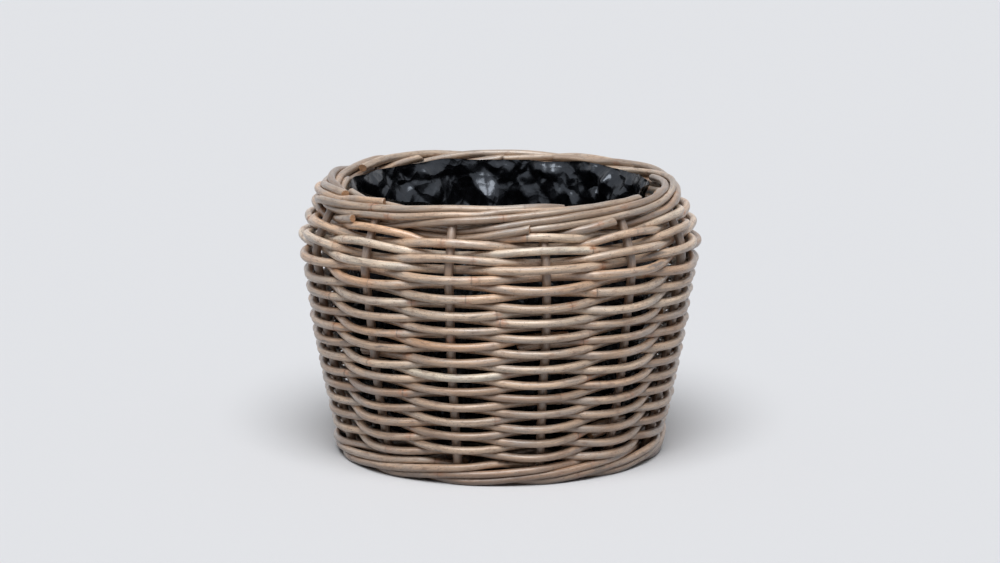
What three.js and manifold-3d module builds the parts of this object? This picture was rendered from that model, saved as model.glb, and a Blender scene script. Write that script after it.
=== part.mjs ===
// Round planter basket of rattan cane: thirteen uprights, a plain woven wall, a waled foot, a rope
// border, a woven base and a film liner. Millimetres, +Z up, the origin on the floor under the
// middle. Azimuth is measured from -Y towards +X, so it grows to the right as seen from -Y.
import * as THREE from 'three';
import { mergeVertices } from 'three/addons/utils/BufferGeometryUtils.js';
import Module from 'manifold-3d';

const wasm = await Module();
wasm.setup();

// Basket shape, on the line of the uprights
const footRadius = 170;
const bellyRadius = 211.5;
const bellyHeight = 238;
const borderRadius = 188.5;
const borderHeight = 288;
const wallBow = 5;
const shoulderBow = 1.5;
const lowerRunShares = [0, 0.3, 0.6, 0.85];

// Canes
const uprightDiameter = 9.6;
const lowerCaneDiameter = 8.4;
const upperCaneDiameter = 8.8;
const footRodDiameter = 8;
const borderRodDiameter = 9.2;
const baseStickDiameter = 9.4;
const baseCaneDiameter = 9.6;

// Layout of the weave
const uprightCount = 13;
const firstUprightAzimuth = 13.4;
const weaveStartUpright = -1;
const wallCaneCount = uprightCount;
const baseCaneCount = 2;
const footRodCount = 4;
const footStartUpright = 5;
const borderRodCount = uprightCount;
const borderStrandCount = 7;
const thickCaneFrom = 196;
const thickCaneFull = 214;
const uprightFootArc = 4;

// Clearances between pieces that touch on the real basket
const touch = 0.3;
const footStrandGap = 0.85;
const borderStrandGap = 0.95;
const crossingGap = 0.35;
const levelGap = 0.45;
const footCut = 0.5;
const footCrossShare = 1.3;
const baseFloorGap = 1;

// Base
const baseHubSpacing = 10.6;
const baseHubHalf = 20;
const baseFanRadius = 54;
const baseWeaveStart = 65;
const baseHalfStickStart = 32;

// Liner
const linerWall = 1.2;
const linerGap = 0.5;
const linerTopAboveBorder = 5;
const linerNeckBelowBorder = 10;
const linerFloorRound = 7;
const linerSides = 24;

const caneSides = 6;
const curveDivisions = 600;
const stakeStep = 360 / uprightCount;
const baseSticksPerLayer = Math.floor(uprightCount / 4);

const canePale = new THREE.MeshStandardMaterial({ color: 0xa8988a, roughness: 0.75, metalness: 0 });
const caneBrown = new THREE.MeshStandardMaterial({ color: 0x8e7a6c, roughness: 0.78, metalness: 0 });
const caneTan = new THREE.MeshStandardMaterial({ color: 0xb59b80, roughness: 0.72, metalness: 0 });
const film = new THREE.MeshStandardMaterial({ color: 0x17181b, roughness: 0.32, metalness: 0 });

// A six-sided cane has the area of the round one. Its corners reach out further than its flats.
const cornerShare = Math.sqrt((2 * Math.PI) / (3 * Math.sqrt(3))) / 2;
const flatShare = cornerShare * Math.cos(Math.PI / caneSides);

function cornerReach(diameter) {
  return diameter * cornerShare;
}

function flatReach(diameter) {
  return diameter * flatShare;
}

function radians(degrees) {
  return THREE.MathUtils.degToRad(degrees);
}

function outwards(azimuth) {
  return new THREE.Vector3(Math.sin(radians(azimuth)), -Math.cos(radians(azimuth)), 0);
}

// The wall's section on the line of the uprights, as radius and height
function makeWallCurve() {
  const lowerRun = (share) => new THREE.Vector3(
    THREE.MathUtils.lerp(footRadius, bellyRadius, share) + wallBow * Math.sin(Math.PI * share),
    bellyHeight * share,
    0,
  );
  const shoulder = new THREE.Vector3(
    (bellyRadius + borderRadius) / 2 + shoulderBow,
    (bellyHeight + borderHeight) / 2 + shoulderBow / 2,
    0,
  );
  const curve = new THREE.CatmullRomCurve3([
    ...lowerRunShares.map(lowerRun),
    new THREE.Vector3(bellyRadius, bellyHeight, 0),
    shoulder,
    new THREE.Vector3(borderRadius, borderHeight, 0),
  ]);
  curve.arcLengthDivisions = curveDivisions;
  return curve;
}

const wallCurve = makeWallCurve();
const borderArc = wallCurve.getLength();

// A place on the wall: its point, its outward normal and its upward direction, in radius and height
function wallAt(arc) {
  const share = THREE.MathUtils.clamp(arc / borderArc, 0, 1);
  const point = wallCurve.getPointAt(share);
  const up = wallCurve.getTangentAt(share);
  const normal = new THREE.Vector3(up.y, -up.x, 0);
  return { point, up, normal };
}

// A point of the basket, at an arc length up the wall, moved outwards and upwards from its line
function onWall(arc, azimuth, out, rise) {
  const { point, up, normal } = wallAt(arc);
  const flat = point.clone().addScaledVector(normal, out).addScaledVector(up, rise);
  return outwards(azimuth).multiplyScalar(flat.x).setZ(flat.y);
}

function wallDirection(arc, azimuth, towards) {
  const flat = wallAt(arc)[towards];
  return outwards(azimuth).multiplyScalar(flat.x).setZ(flat.y);
}

// A closed six-sided cane through its stations. Each has a point, a diameter and the direction
// that one of its flats faces. A station marked as a guide only turns the cut end next to it.
function caneGeometry(stations) {
  const positions = [];
  const rings = stations.filter((station) => !station.guide);
  rings.forEach((station) => {
    const index = stations.indexOf(station);
    const before = stations[Math.max(index - 1, 0)].point;
    const after = stations[Math.min(index + 1, stations.length - 1)].point;
    const along = after.clone().sub(before).normalize();
    const side = station.facing.clone().cross(along).normalize();
    const flat = along.clone().cross(side);
    for (let corner = 0; corner < caneSides; corner += 1) {
      const turn = (2 * Math.PI * corner) / caneSides;
      const reach = cornerReach(station.diameter);
      const place = station.point.clone()
        .addScaledVector(side, reach * Math.cos(turn))
        .addScaledVector(flat, reach * Math.sin(turn));
      positions.push(place.x, place.y, place.z);
    }
  });
  const faces = [];
  for (let ring = 0; ring + 1 < rings.length; ring += 1) {
    for (let corner = 0; corner < caneSides; corner += 1) {
      const next = (corner + 1) % caneSides;
      const a = ring * caneSides + corner;
      const b = ring * caneSides + next;
      faces.push(a, b, b + caneSides, a, b + caneSides, a + caneSides);
    }
  }
  const last = (rings.length - 1) * caneSides;
  for (let corner = 1; corner + 1 < caneSides; corner += 1) {
    faces.push(0, corner + 1, corner);
    faces.push(last, last + corner, last + corner + 1);
  }
  const geometry = new THREE.BufferGeometry();
  geometry.setAttribute('position', new THREE.Float32BufferAttribute(positions, 3));
  geometry.setIndex(faces);
  return geometry;
}

function addMesh(group, name, geometry, material) {
  const shaded = geometry.toNonIndexed();
  shaded.computeVertexNormals();
  const mesh = new THREE.Mesh(shaded, material);
  mesh.name = name;
  group.add(mesh);
}

function numbered(stem, index) {
  return `${stem}_${String(index + 1).padStart(2, '0')}`;
}

// Wall canes, thicker over the shoulder
function caneDiameterAt(arc) {
  const thick = THREE.MathUtils.smoothstep(arc, thickCaneFrom, thickCaneFull);
  return THREE.MathUtils.lerp(lowerCaneDiameter, upperCaneDiameter, thick);
}

// How far a strand's middle lies from the uprights' line where it passes one. It bends back
// towards the next span, so it also has to clear the edges of the upright's flat.
function passOffset(diameter, radius) {
  const halfStep = radians(stakeStep / 2);
  const straight = flatReach(uprightDiameter) + cornerReach(diameter) + touch;
  const slope = (straight + radius * (1 - Math.cos(halfStep))) / (radius * Math.sin(halfStep));
  return straight + (slope * cornerReach(uprightDiameter)) / 2;
}

// Foot: a four-rod wale. A rod lies outside three uprights while it climbs, then crosses over the
// others and passes inside the fourth. Each rod starts where the next one ends.
const footStack = 2 * flatReach(footRodDiameter) + footStrandGap;
const footCross = footCrossShare * footStack;
const footArc = footCross + flatReach(footRodDiameter) - footCut;

// Border: a rope of seven strands round the tops of the uprights
const borderStepsPerRod = 14;
const borderRodSpan = (360 * borderStrandCount) / borderRodCount;
const borderStrandTurn = Math.PI / borderStrandCount;
const borderCornerTurn = Math.min(borderStrandTurn, (2 * Math.PI) / caneSides - borderStrandTurn);
const borderNeighbourReach = cornerReach(borderRodDiameter) * Math.cos(borderCornerTurn);
const borderLay = (2 * borderNeighbourReach + borderStrandGap)
  / (2 * Math.sin(borderStrandTurn) * Math.cos(Math.PI / borderStepsPerRod));
const borderUnder = borderArc - borderLay - flatReach(borderRodDiameter) - crossingGap;

// Wall: the levels of the plain weave, from the top of the foot to the underside of the border
function makeLevelArcs() {
  const first = footArc + footCross + flatReach(footRodDiameter) + crossingGap
    + flatReach(lowerCaneDiameter);
  const last = borderUnder - flatReach(upperCaneDiameter);
  const arcs = [first];
  for (;;) {
    const arc = arcs[arcs.length - 1];
    const above = arc + 2 * flatReach(upperCaneDiameter);
    const next = arc + flatReach(caneDiameterAt(arc)) + flatReach(caneDiameterAt(above)) + levelGap;
    if (next > last) {
      break;
    }
    arcs.push(next);
  }
  const spread = (last - first) / (arcs[arcs.length - 1] - first);
  return arcs.map((arc) => first + (arc - first) * spread);
}

const levelArcs = makeLevelArcs();

function arcAtLevel(level) {
  const lower = THREE.MathUtils.clamp(Math.floor(level), 0, levelArcs.length - 2);
  return THREE.MathUtils.lerp(levelArcs[lower], levelArcs[lower + 1], level - lower);
}

function uprightAzimuth(index) {
  return firstUprightAzimuth + stakeStep * index;
}

// Half the gap between two butted cane ends, as an angle at a radius
function halfGapAngle(radius) {
  return THREE.MathUtils.radToDeg(touch / 2 / radius);
}

function makeUprights(group) {
  const lowerSteps = 8;
  const shoulderSteps = 8;
  const arcs = [];
  for (let step = 0; step < lowerSteps; step += 1) {
    arcs.push(THREE.MathUtils.lerp(uprightFootArc, thickCaneFull, step / lowerSteps));
  }
  for (let step = 0; step <= shoulderSteps; step += 1) {
    arcs.push(THREE.MathUtils.lerp(thickCaneFull, borderUnder, step / shoulderSteps));
  }
  for (let index = 0; index < uprightCount; index += 1) {
    const azimuth = uprightAzimuth(index);
    const stations = arcs.map((arc) => ({
      point: onWall(arc, azimuth, 0, 0),
      diameter: uprightDiameter,
      facing: wallDirection(arc, azimuth, 'normal'),
    }));
    addMesh(group, numbered('upright', index), caneGeometry(stations), caneBrown);
  }
}

// One strand winds up the wall, outside one upright and inside the next. With an odd number of
// uprights each turn passes them the other way round. It is a row of canes that meet end to end
// behind an upright.
function makeWeavers(group) {
  const topLevel = levelArcs.length - 1;
  const uprightsPassed = 2 * Math.floor((topLevel * uprightCount) / 2);
  const jointAt = (cane) => 2 * Math.round((uprightsPassed * cane) / wallCaneCount / 2);
  for (let cane = 0; cane < wallCaneCount; cane += 1) {
    const from = 2 * jointAt(cane);
    const to = 2 * jointAt(cane + 1);
    const stations = [];
    for (let half = from - 1; half <= to + 1; half += 1) {
      const level = THREE.MathUtils.clamp(half / 2 / uprightCount, 0, topLevel);
      const arc = arcAtLevel(level);
      const diameter = caneDiameterAt(arc);
      const side = -Math.cos((Math.PI * half) / 2);
      let azimuth = uprightAzimuth(weaveStartUpright + half / 2);
      const radius = wallAt(arc).point.x;
      const gap = halfGapAngle(radius);
      azimuth += half === from ? gap : 0;
      azimuth -= half === to ? gap : 0;
      stations.push({
        point: onWall(arc, azimuth, side * passOffset(diameter, radius), 0),
        diameter,
        facing: wallDirection(arc, azimuth, 'up'),
        guide: half < from || half > to,
      });
    }
    addMesh(group, numbered('weaver', cane), caneGeometry(stations), canePale);
  }
}

function asManifold(geometry) {
  const bare = geometry.clone();
  bare.deleteAttribute('normal');
  bare.deleteAttribute('uv');
  const merged = mergeVertices(bare);
  const vertProperties = new Float32Array(merged.getAttribute('position').array);
  const triVerts = new Uint32Array(merged.getIndex().array);
  return new wasm.Manifold(new wasm.Mesh({ numProp: 3, vertProperties, triVerts }));
}

function fromManifold(solid) {
  const mesh = solid.getMesh();
  const geometry = new THREE.BufferGeometry();
  geometry.setAttribute('position', new THREE.Float32BufferAttribute(mesh.vertProperties, 3));
  geometry.setIndex(Array.from(mesh.triVerts));
  return geometry;
}

// Everything below the floor, to cut the rods that the basket stands on flat
function makeFloorCutter() {
  const depth = 2 * footRodDiameter;
  const width = 4 * bellyRadius;
  const box = new THREE.BoxGeometry(width, width, depth);
  box.translate(0, 0, -depth / 2);
  return asManifold(box);
}

function makeFootWale(group) {
  const offset = passOffset(footRodDiameter, footRadius);
  const cycle = 2 * footRodCount;
  const outs = [1, 1, 1, 1, 1, 0, -1, 0];
  const rises = [-footStack, -footStack / 2, 0, footStack / 2, footStack, footCross, 0, -footCross];
  const inside = 6;
  const cutter = makeFloorCutter();
  const rounds = Math.floor(uprightCount / footRodCount);
  const halves = cycle * rounds;
  for (let rod = 0; rod < footRodCount; rod += 1) {
    const stations = [];
    for (let half = -1; half <= halves + 1; half += 1) {
      const place = (inside + half) % cycle;
      const gap = halfGapAngle(footRadius);
      let azimuth = uprightAzimuth(footStartUpright + rod + half / 2);
      azimuth += half === 0 ? gap : 0;
      azimuth -= half === halves ? gap : 0;
      stations.push({
        point: onWall(footArc, azimuth, offset * outs[place], rises[place]),
        diameter: footRodDiameter,
        facing: wallDirection(footArc, azimuth, 'up'),
        guide: half < 0 || half > halves,
      });
    }
    const trimmed = asManifold(caneGeometry(stations)).subtract(cutter);
    addMesh(group, numbered('foot_rod', rod), fromManifold(trimmed), caneBrown);
  }
}

// Each border rod starts inside, dips under the rope, climbs outside, goes over the top and ends
// inside again.
function makeBorder(group) {
  const lowestAfter = 1 / 4;
  for (let rod = 0; rod < borderRodCount; rod += 1) {
    const start = firstUprightAzimuth - lowestAfter * borderRodSpan + (360 / borderRodCount) * rod;
    const stations = [];
    for (let step = -1; step <= borderStepsPerRod + 1; step += 1) {
      const share = step / borderStepsPerRod;
      const turn = Math.PI * (1 + 2 * share);
      const gap = halfGapAngle(borderRadius - borderLay);
      let azimuth = start + borderRodSpan * share;
      azimuth += step === 0 ? gap : 0;
      azimuth -= step === borderStepsPerRod ? gap : 0;
      const middle = onWall(borderArc, azimuth, 0, 0);
      const point = onWall(borderArc, azimuth, borderLay * Math.cos(turn), borderLay * Math.sin(turn));
      stations.push({
        point,
        diameter: borderRodDiameter,
        facing: point.clone().sub(middle).normalize(),
        guide: step < 0 || step > borderStepsPerRod,
      });
    }
    addMesh(group, numbered('border_rod', rod), caneGeometry(stations), caneTan);
  }
}

// Base: two layers of sticks cross at the hub and fan out to the uprights. A half stick goes to
// the upright that is left over. Two canes, end to end, wind over and under them.
function baseWeaveOffset(radius) {
  const straight = flatReach(baseStickDiameter) + cornerReach(baseCaneDiameter) + levelGap;
  const slope = straight / (radius * Math.sin(radians(stakeStep / 2)));
  return straight + (slope * cornerReach(baseStickDiameter)) / 2;
}

const baseHalfHeight = baseWeaveOffset(baseWeaveStart) + cornerReach(baseCaneDiameter);
const baseHeight = baseFloorGap + baseHalfHeight;
const baseReach = wallAt(footArc).point.x - passOffset(footRodDiameter, footRadius)
  - cornerReach(footRodDiameter) - touch;

function baseStick(points) {
  const facing = new THREE.Vector3(0, 0, 1);
  return caneGeometry(points.map((point) => ({ point, diameter: baseStickDiameter, facing })));
}

function baseFanPoint(upright, radius) {
  return outwards(uprightAzimuth(upright)).multiplyScalar(radius).setZ(baseHeight);
}

function makeBaseSticks(group) {
  const layerLift = flatReach(baseStickDiameter) + touch / 2;
  const sticks = [];
  for (let layer = 0; layer < 2; layer += 1) {
    const middleUpright = baseSticksPerLayer * layer;
    const oppositeUpright = baseSticksPerLayer * (layer + 2);
    const sideAzimuth = uprightAzimuth((middleUpright + oppositeUpright) / 2);
    const forward = outwards(sideAzimuth - 90);
    const sideways = outwards(sideAzimuth);
    const height = baseHeight + (layer === 0 ? -layerLift : layerLift);
    for (let place = 0; place < baseSticksPerLayer; place += 1) {
      const lane = place - (baseSticksPerLayer - 1) / 2;
      const hubPoint = (along) => forward.clone().multiplyScalar(along)
        .addScaledVector(sideways, lane * baseHubSpacing)
        .setZ(height);
      sticks.push(baseStick([
        baseFanPoint(oppositeUpright - lane, baseReach),
        baseFanPoint(oppositeUpright - lane, baseFanRadius),
        hubPoint(-baseHubHalf),
        hubPoint(0),
        hubPoint(baseHubHalf),
        baseFanPoint(middleUpright + lane, baseFanRadius),
        baseFanPoint(middleUpright + lane, baseReach),
      ]));
    }
  }
  const crossed = 4 * baseSticksPerLayer;
  for (let spare = crossed - 1; spare < uprightCount - 1; spare += 1) {
    sticks.push(baseStick([
      baseFanPoint(spare, baseHalfStickStart),
      baseFanPoint(spare, baseReach),
    ]));
  }
  sticks.forEach((geometry, index) => {
    addMesh(group, numbered('base_stick', index), geometry, caneBrown);
  });
}

function makeBaseWeavers(group) {
  const outer = baseReach - flatReach(baseCaneDiameter);
  const width = outer - baseWeaveStart;
  const rings = Math.floor(width / (2 * flatReach(baseCaneDiameter) + levelGap));
  const sticksPassed = 2 * Math.floor((uprightCount * rings) / 2);
  const jointAt = (cane) => 2 * Math.round((sticksPassed * cane) / baseCaneCount / 2);
  for (let cane = 0; cane < baseCaneCount; cane += 1) {
    const from = 2 * jointAt(cane);
    const to = 2 * jointAt(cane + 1);
    const stations = [];
    for (let half = from - 1; half <= to + 1; half += 1) {
      const radius = baseWeaveStart + (width * half) / 2 / sticksPassed;
      const gap = halfGapAngle(radius);
      let azimuth = uprightAzimuth(half / 2);
      azimuth += half === from ? gap : 0;
      azimuth -= half === to ? gap : 0;
      const side = Math.cos((Math.PI * half) / 2);
      stations.push({
        point: outwards(azimuth).multiplyScalar(radius).setZ(baseHeight + side * baseWeaveOffset(radius)),
        diameter: baseCaneDiameter,
        facing: outwards(azimuth),
        guide: half < from || half > to,
      });
    }
    addMesh(group, numbered('base_weaver', cane), caneGeometry(stations), canePale);
  }
}

// Liner: a film bag that lies against the inside of the wall and the border, open at the top
function makeLiner(group) {
  const floor = baseHeight + baseHalfHeight + touch;
  const firstArc = levelArcs[0];
  const lastArc = levelArcs[levelArcs.length - 1] - upperCaneDiameter / 2;
  const wallSteps = 6;
  const wall = [];
  for (let step = 0; step <= wallSteps; step += 1) {
    const arc = THREE.MathUtils.lerp(firstArc, lastArc, step / wallSteps);
    const diameter = caneDiameterAt(arc + upperCaneDiameter);
    const { point, normal } = wallAt(arc);
    const inwards = passOffset(diameter, point.x) + cornerReach(diameter) + linerGap;
    wall.push(new THREE.Vector2(point.x - normal.x * inwards, point.y - normal.y * inwards));
  }
  wall[0].y = floor + linerFloorRound;
  const neck = borderRadius - borderLay - cornerReach(borderRodDiameter) - 2 * linerGap;
  const outside = [
    new THREE.Vector2(0, floor),
    new THREE.Vector2(wall[0].x - linerFloorRound, floor),
    new THREE.Vector2(wall[0].x - linerFloorRound / 4, floor + linerFloorRound / 4),
    ...wall,
    new THREE.Vector2(neck, borderHeight - linerNeckBelowBorder),
    new THREE.Vector2(neck, borderHeight + linerTopAboveBorder),
  ];
  const inside = outside.map((place) => new THREE.Vector2(
    Math.max(place.x - linerWall, 0),
    Math.max(place.y, floor + linerWall),
  ));
  const lathe = new THREE.LatheGeometry([...outside, ...inside.reverse()], linerSides);
  lathe.rotateX(Math.PI / 2);
  lathe.rotateZ(radians(firstUprightAzimuth));
  lathe.deleteAttribute('normal');
  lathe.deleteAttribute('uv');
  addMesh(group, 'liner', mergeVertices(lathe, 1e-3), film);
}

const basket = new THREE.Group();
makeUprights(basket);
makeWeavers(basket);
makeFootWale(basket);
makeBorder(basket);
makeBaseSticks(basket);
makeBaseWeavers(basket);
makeLiner(basket);

export default basket;
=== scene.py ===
"""A round planter basket of weathered cane with a black film liner. Metres, +Z up.

Azimuth is measured from -Y towards +X, in degrees, so it grows to the right as seen from -Y. An arc
is a length up the wall's section, from the floor. Every cane is a smooth tube that takes the course
of its solid in the frame, with its own thickness, bends, nodes, cut ends and weathering. The canes
are settled against each other before they are meshed.
"""
import math
from dataclasses import dataclass

import bpy
import numpy as np
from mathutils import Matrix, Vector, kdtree


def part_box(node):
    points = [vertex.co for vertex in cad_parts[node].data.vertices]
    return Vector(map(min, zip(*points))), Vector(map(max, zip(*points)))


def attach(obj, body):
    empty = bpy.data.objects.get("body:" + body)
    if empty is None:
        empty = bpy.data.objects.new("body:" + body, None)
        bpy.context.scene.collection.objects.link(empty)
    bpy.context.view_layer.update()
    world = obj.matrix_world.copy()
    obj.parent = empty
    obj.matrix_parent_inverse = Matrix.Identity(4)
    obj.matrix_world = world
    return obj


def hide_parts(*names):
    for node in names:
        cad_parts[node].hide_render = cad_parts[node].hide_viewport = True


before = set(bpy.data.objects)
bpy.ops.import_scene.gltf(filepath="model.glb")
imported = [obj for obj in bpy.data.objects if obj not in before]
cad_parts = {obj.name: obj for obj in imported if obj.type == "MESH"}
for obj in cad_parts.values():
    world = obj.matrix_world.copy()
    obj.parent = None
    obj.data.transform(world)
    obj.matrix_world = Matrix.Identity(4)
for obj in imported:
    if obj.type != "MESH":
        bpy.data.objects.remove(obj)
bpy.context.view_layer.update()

# Basket shape, on the line of the uprights
FOOT_RADIUS = 0.170
BELLY_RADIUS = 0.2115
BELLY_HEIGHT = 0.238
BORDER_RADIUS = 0.1885
BORDER_HEIGHT = 0.288
WALL_BOW = 0.005
SHOULDER_BOW = 0.0015
LOWER_RUN_SHARES = (0, 0.3, 0.6, 0.85)
DIRECTION_REACH = 0.001

# Canes
UPRIGHT_DIAMETER = 0.0096
LOWER_CANE_DIAMETER = 0.0084
BELLY_CANE_DIAMETER = 0.0096
UPPER_CANE_DIAMETER = 0.0088
FOOT_ROD_DIAMETER = 0.0079
BORDER_ROD_DIAMETER = 0.0083
BASE_STICK_DIAMETER = 0.0094
BASE_CANE_DIAMETER = 0.0092

# Uprights
UPRIGHT_COUNT = 13
STAKE_STEP = 360 / UPRIGHT_COUNT
FIRST_UPRIGHT_AZIMUTH = 13.4
UPRIGHT_FOOT_ARC = 0.006
UPRIGHT_TOP_GAP = 0.004
UPRIGHT_LEAN = 0.8

# Wall weave. Places along a woven strand count half the way from one upright to the next as one.
WEAVE_START_UPRIGHT = -1
WEAVE_LEAD_IN = 12
WALL_CANE_COUNT = 13
LEVEL_COUNT = 29
FIRST_LEVEL_ARC = 0.0335
LAST_LEVEL_ARC = 0.2790
UPPER_CANES_FROM = 0.196
BELLY_ARC = 0.224
BELLY_BAND = 0.024
HALF_STEP = 0.02
JOINT_TAIL = 0.55
LAST_TAIL = 8.7

# Foot wale. A rod's pattern is four uprights long, and its outs and rises are half a step apart.
FOOT_ROD_COUNT = 4
FOOT_START_UPRIGHT = 5
FOOT_ARC = 0.0124
FOOT_STACK = 0.0079
FOOT_CROSS = 0.0090
FOOT_OUTS = (1, 1, 1, 1, 1, 0, -1, 0)
FOOT_RISES = (-FOOT_STACK, -FOOT_STACK / 2, 0, FOOT_STACK / 2, FOOT_STACK, FOOT_CROSS, 0, -FOOT_CROSS)
FOOT_INSIDE = 6

# Border rope. A rod's share is 0 on the rope's inner side, and 1 there again after a turn round it.
BORDER_ROD_COUNT = UPRIGHT_COUNT
BORDER_STRAND_COUNT = 7
BORDER_LAY = 0.0111
BORDER_START_SHARE = -0.17
BORDER_END_SHARE = 0.86
BORDER_ODD_ENDS = {3: 1.36, 5: 1.36, 6: 1.39, 7: 0.70, 8: 0.70, 11: 0.75}
BORDER_SHARE_STEP = 0.004
BORDER_PRESSED_BY = 0.0035
BORDER_PRESSED_AT = 0.55
BORDER_PRESSED_BAND = 0.08
BORDER_OUTER_LAYER = 0.0065
BORDER_OUTER_SHARES = (0.95, 1.15)
BORDER_HIGH_SIDE = 218
BORDER_HIGH_BY = 0.0028

# Base
BASE_HEIGHT = 0.0182
BASE_REACH = 0.154
BASE_HUB_SPACING = 0.0106
BASE_HUB_HALF = 0.020
BASE_FAN_RADIUS = 0.054
BASE_MIDDLE_RADIUS = 0.10
BASE_HALF_STICK_RADII = (0.032, 0.093, BASE_REACH)
BASE_CANE_COUNT = 2
BASE_WEAVE_START = 0.065
BASE_WEAVE_END = 0.150
BASE_RINGS = 9

# Settling: how stiffly and how often canes that run into each other are moved apart
LINE_STEP = 0.004
SETTLE_ROUNDS = 7
SETTLE_STEPS = 12
NEAR_REACH = 0.0125
SAME_CANE_APART = 12
PUSH_GAIN = 1.6
CROWDING = 0.35
FLOOR_RADII = 1.04

# Surface of a cane
TUBE_SIDES = 16
RING_TURN = np.arange(TUBE_SIDES) * 2 * math.pi / TUBE_SIDES
RING_STEP = 0.0036
LEAST_RING_STEP = 0.00035
NODE_RINGS = (-0.0024, -0.0011, -0.0003, 0.0004, 0.0012, 0.0024)
FIRST_NODE = (0.03, 0.25)
NODE_STEP = (0.14, 0.34)
LAST_NODE_GAP = 0.02
SHEATH_BELOW = (0.040, 0.011)
SHEATH_ABOVE = (0.006, 0.006)
NODE_RIDGE = (0.00012, 0.0008)
NODE_RIDGE_BELOW = 0.0004
OVAL = 0.020
LUMPS = 0.008
CUT_RAGGED = 0.00018
CUT_SLANT_FADES = (1, 0.45, 0.15)
CUT_BEVEL = 0.0004
CUT_INSET = 0.91

# Weathering: a whole cane's tone and warmth, how far they spread from stem to stem, and how far past
# a node its stain and its scar lie, and how long they are
CANE_TONE, TONE_SPREAD, PALEST_TONE = (0.37, 0.70), 0.10, 0.86
CANE_WARMTH, WARMTH_SPREAD = (0.30, 0.14), 0.17
NODE_STAIN = (0.001, 0.0045)
NODE_SCAR = (0.0003, 0.0006)
LAY_DRIFT = 4

# Liner. Its shoulder is given as radius and height, its corner as steps from the wall and the floor,
# and its folds as wavelength and slope.
FILM_WALL_GAP = 0.0142
FILM_FLOOR_LIFT = 0.001
FILM_CORNER = ((-0.016, 0.0), (-0.007, 0.004))
FILM_ABOVE_FIRST_LEVEL = 0.014
FILM_LEAVES_WALL_ARC = 0.165
FILM_SHOULDER = ((0.1800, 0.210), (0.1730, 0.238), (0.1690, 0.258))
FILM_NECK_RADIUS = 0.1690
FILM_NECK_HEIGHT = 0.278
FILM_TOP_HEIGHT = 0.2975
FILM_FLOOR_ROWS, FILM_WALL_ROWS, FILM_COLUMNS = 36, 150, 540
FILM_FOLDS = ((0.095, 0.20), (0.071, 0.26), (0.053, 0.32), (0.040, 0.32), (0.030, 0.28),
              (0.021, 0.30), (0.015, 0.26))
FILM_FOLD_BASE = -0.0105
FILM_WRINKLES_UNDER = 0.025
FILM_WRINKLED_PATCHES = ((47, -31, 38), (-22, 51, 17))
FILM_EDGE_HELD, FILM_EDGE_BAND = 0.45, 0.014
FILM_FLOOR_HELD, FILM_FLOOR_BAND = 0.30, (-0.02, 0.04)
FILM_EDGE_WAVE_BAND = 0.03
# Heights below and above which the film reflects least and most: its weaker reflection lower down is
# painted shade behind the weave
FILM_DULL_BELOW, FILM_GLOSSY_ABOVE = 0.20, 0.25

# Camera, fitted to the outline of the basket in the photograph
IMAGE_WIDTH = 1000
SENSOR_WIDTH = 36
FOCAL_PIXELS = 2747
CAMERA_DISTANCE = 3.0
CAMERA_HEIGHT = 0.7985
CAMERA_SIDE = 0.0005
CAMERA_PITCH = 11.55

# Studio
WORLD_AT_HORIZON = 0.02
WORLD_OVERHEAD = 0.22
SUN_STRENGTH = 3.0
SUN_ANGLE = 46
SUN_TILT = (27, -1)
PALE = (0.755, 0.768, 0.797)
FLOOR_BOUNCE = 0.35
FLOOR_HALF_SIZE = 30

# How things wander: wavelength and size. Sizes are metres, for an azimuth degrees, for a turn round
# the cane radians, and for a thickness or a swelling a share of it.
WANDERS = {
    "upright_azimuth": (0.2, 0.2),
    "upright_out": (0.15, 0.0003),
    "weaver_thickness": (0.8, 0.03),
    "weaver_out": (0.4, 0.0005),
    "weaver_long_rise": (0.9, 0.0013),
    "weaver_short_rise": (0.30, 0.0005),
    "foot_rod_out": (0.3, 0.0008),
    "foot_rod_rise": (0.25, 0.0012),
    "foot_rod_thickness": (0.6, 0.03),
    "border_rod_reach": (0.24, 0.0017),
    "border_rod_azimuth": (0.4, 3.5),
    "border_rod_thickness": (0.5, 0.04),
    "base_weaver_thickness": (0.4, 0.03),
    "oval_turn": (0.7, 2.0),
    "lump_turn": (0.3, 2.5),
    "swelling": (0.2, 0.007),
    "lay_turn": (0.9, 0.9),
    "film_edge": (60, 0.0018),
}
OCTAVE_SHARE = 0.55
OCTAVES_HEIGHT = 1.3

# The thinnest and thickest canes, as shares of their diameter
THICKNESS = {"upright": (0.94, 1.04), "weaver": (0.96, 1.05), "foot_rod": (0.96, 1.04),
             "border_rod": (0.92, 1.10)}

# Random draws: the first seed of each kind of piece
SEEDS = {"upright": 100, "weaver": 200, "foot_rod": 300, "border_rod": 400, "base_stick": 500,
         "base_weaver": 520}
SURFACE_SEEDS = 1000
FILM_FOLD_SEED = 77
FILM_EDGE_SEED = 78

UP = np.array([0.0, 0.0, 1.0])


@dataclass
class Cane:
    """The centre line of one cane, an even step apart, and its radius at each point. One that gives
    less moves less where canes are settled."""
    node: str
    slot: str
    line: np.ndarray
    radius: np.ndarray
    seed: int
    gives: float = 1.0
    start_slant: float = 0.35
    end_slant: float = 0.35


@dataclass
class Tube:
    """A cane's rings of points, and what is known at each ring."""
    rings: np.ndarray
    places: np.ndarray
    forward: np.ndarray
    radius: np.ndarray
    nodes: np.ndarray
    past_node: np.ndarray
    node_strength: np.ndarray


# Curves and values along them
def smooth_step(value, low, high):
    share = np.clip((value - low) / (high - low), 0, 1)
    return share * share * (3 - 2 * share)


def bell(distance, width):
    return np.exp(-(distance / width) ** 2)


def between(start, end, share):
    return start + (end - start) * share


def unit(vectors):
    return vectors / np.linalg.norm(vectors, axis=-1, keepdims=True)


def outwards(azimuth):
    turn = np.radians(np.asarray(azimuth, float))
    return np.stack([np.sin(turn), -np.cos(turn), np.zeros_like(turn)], axis=-1)


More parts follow.
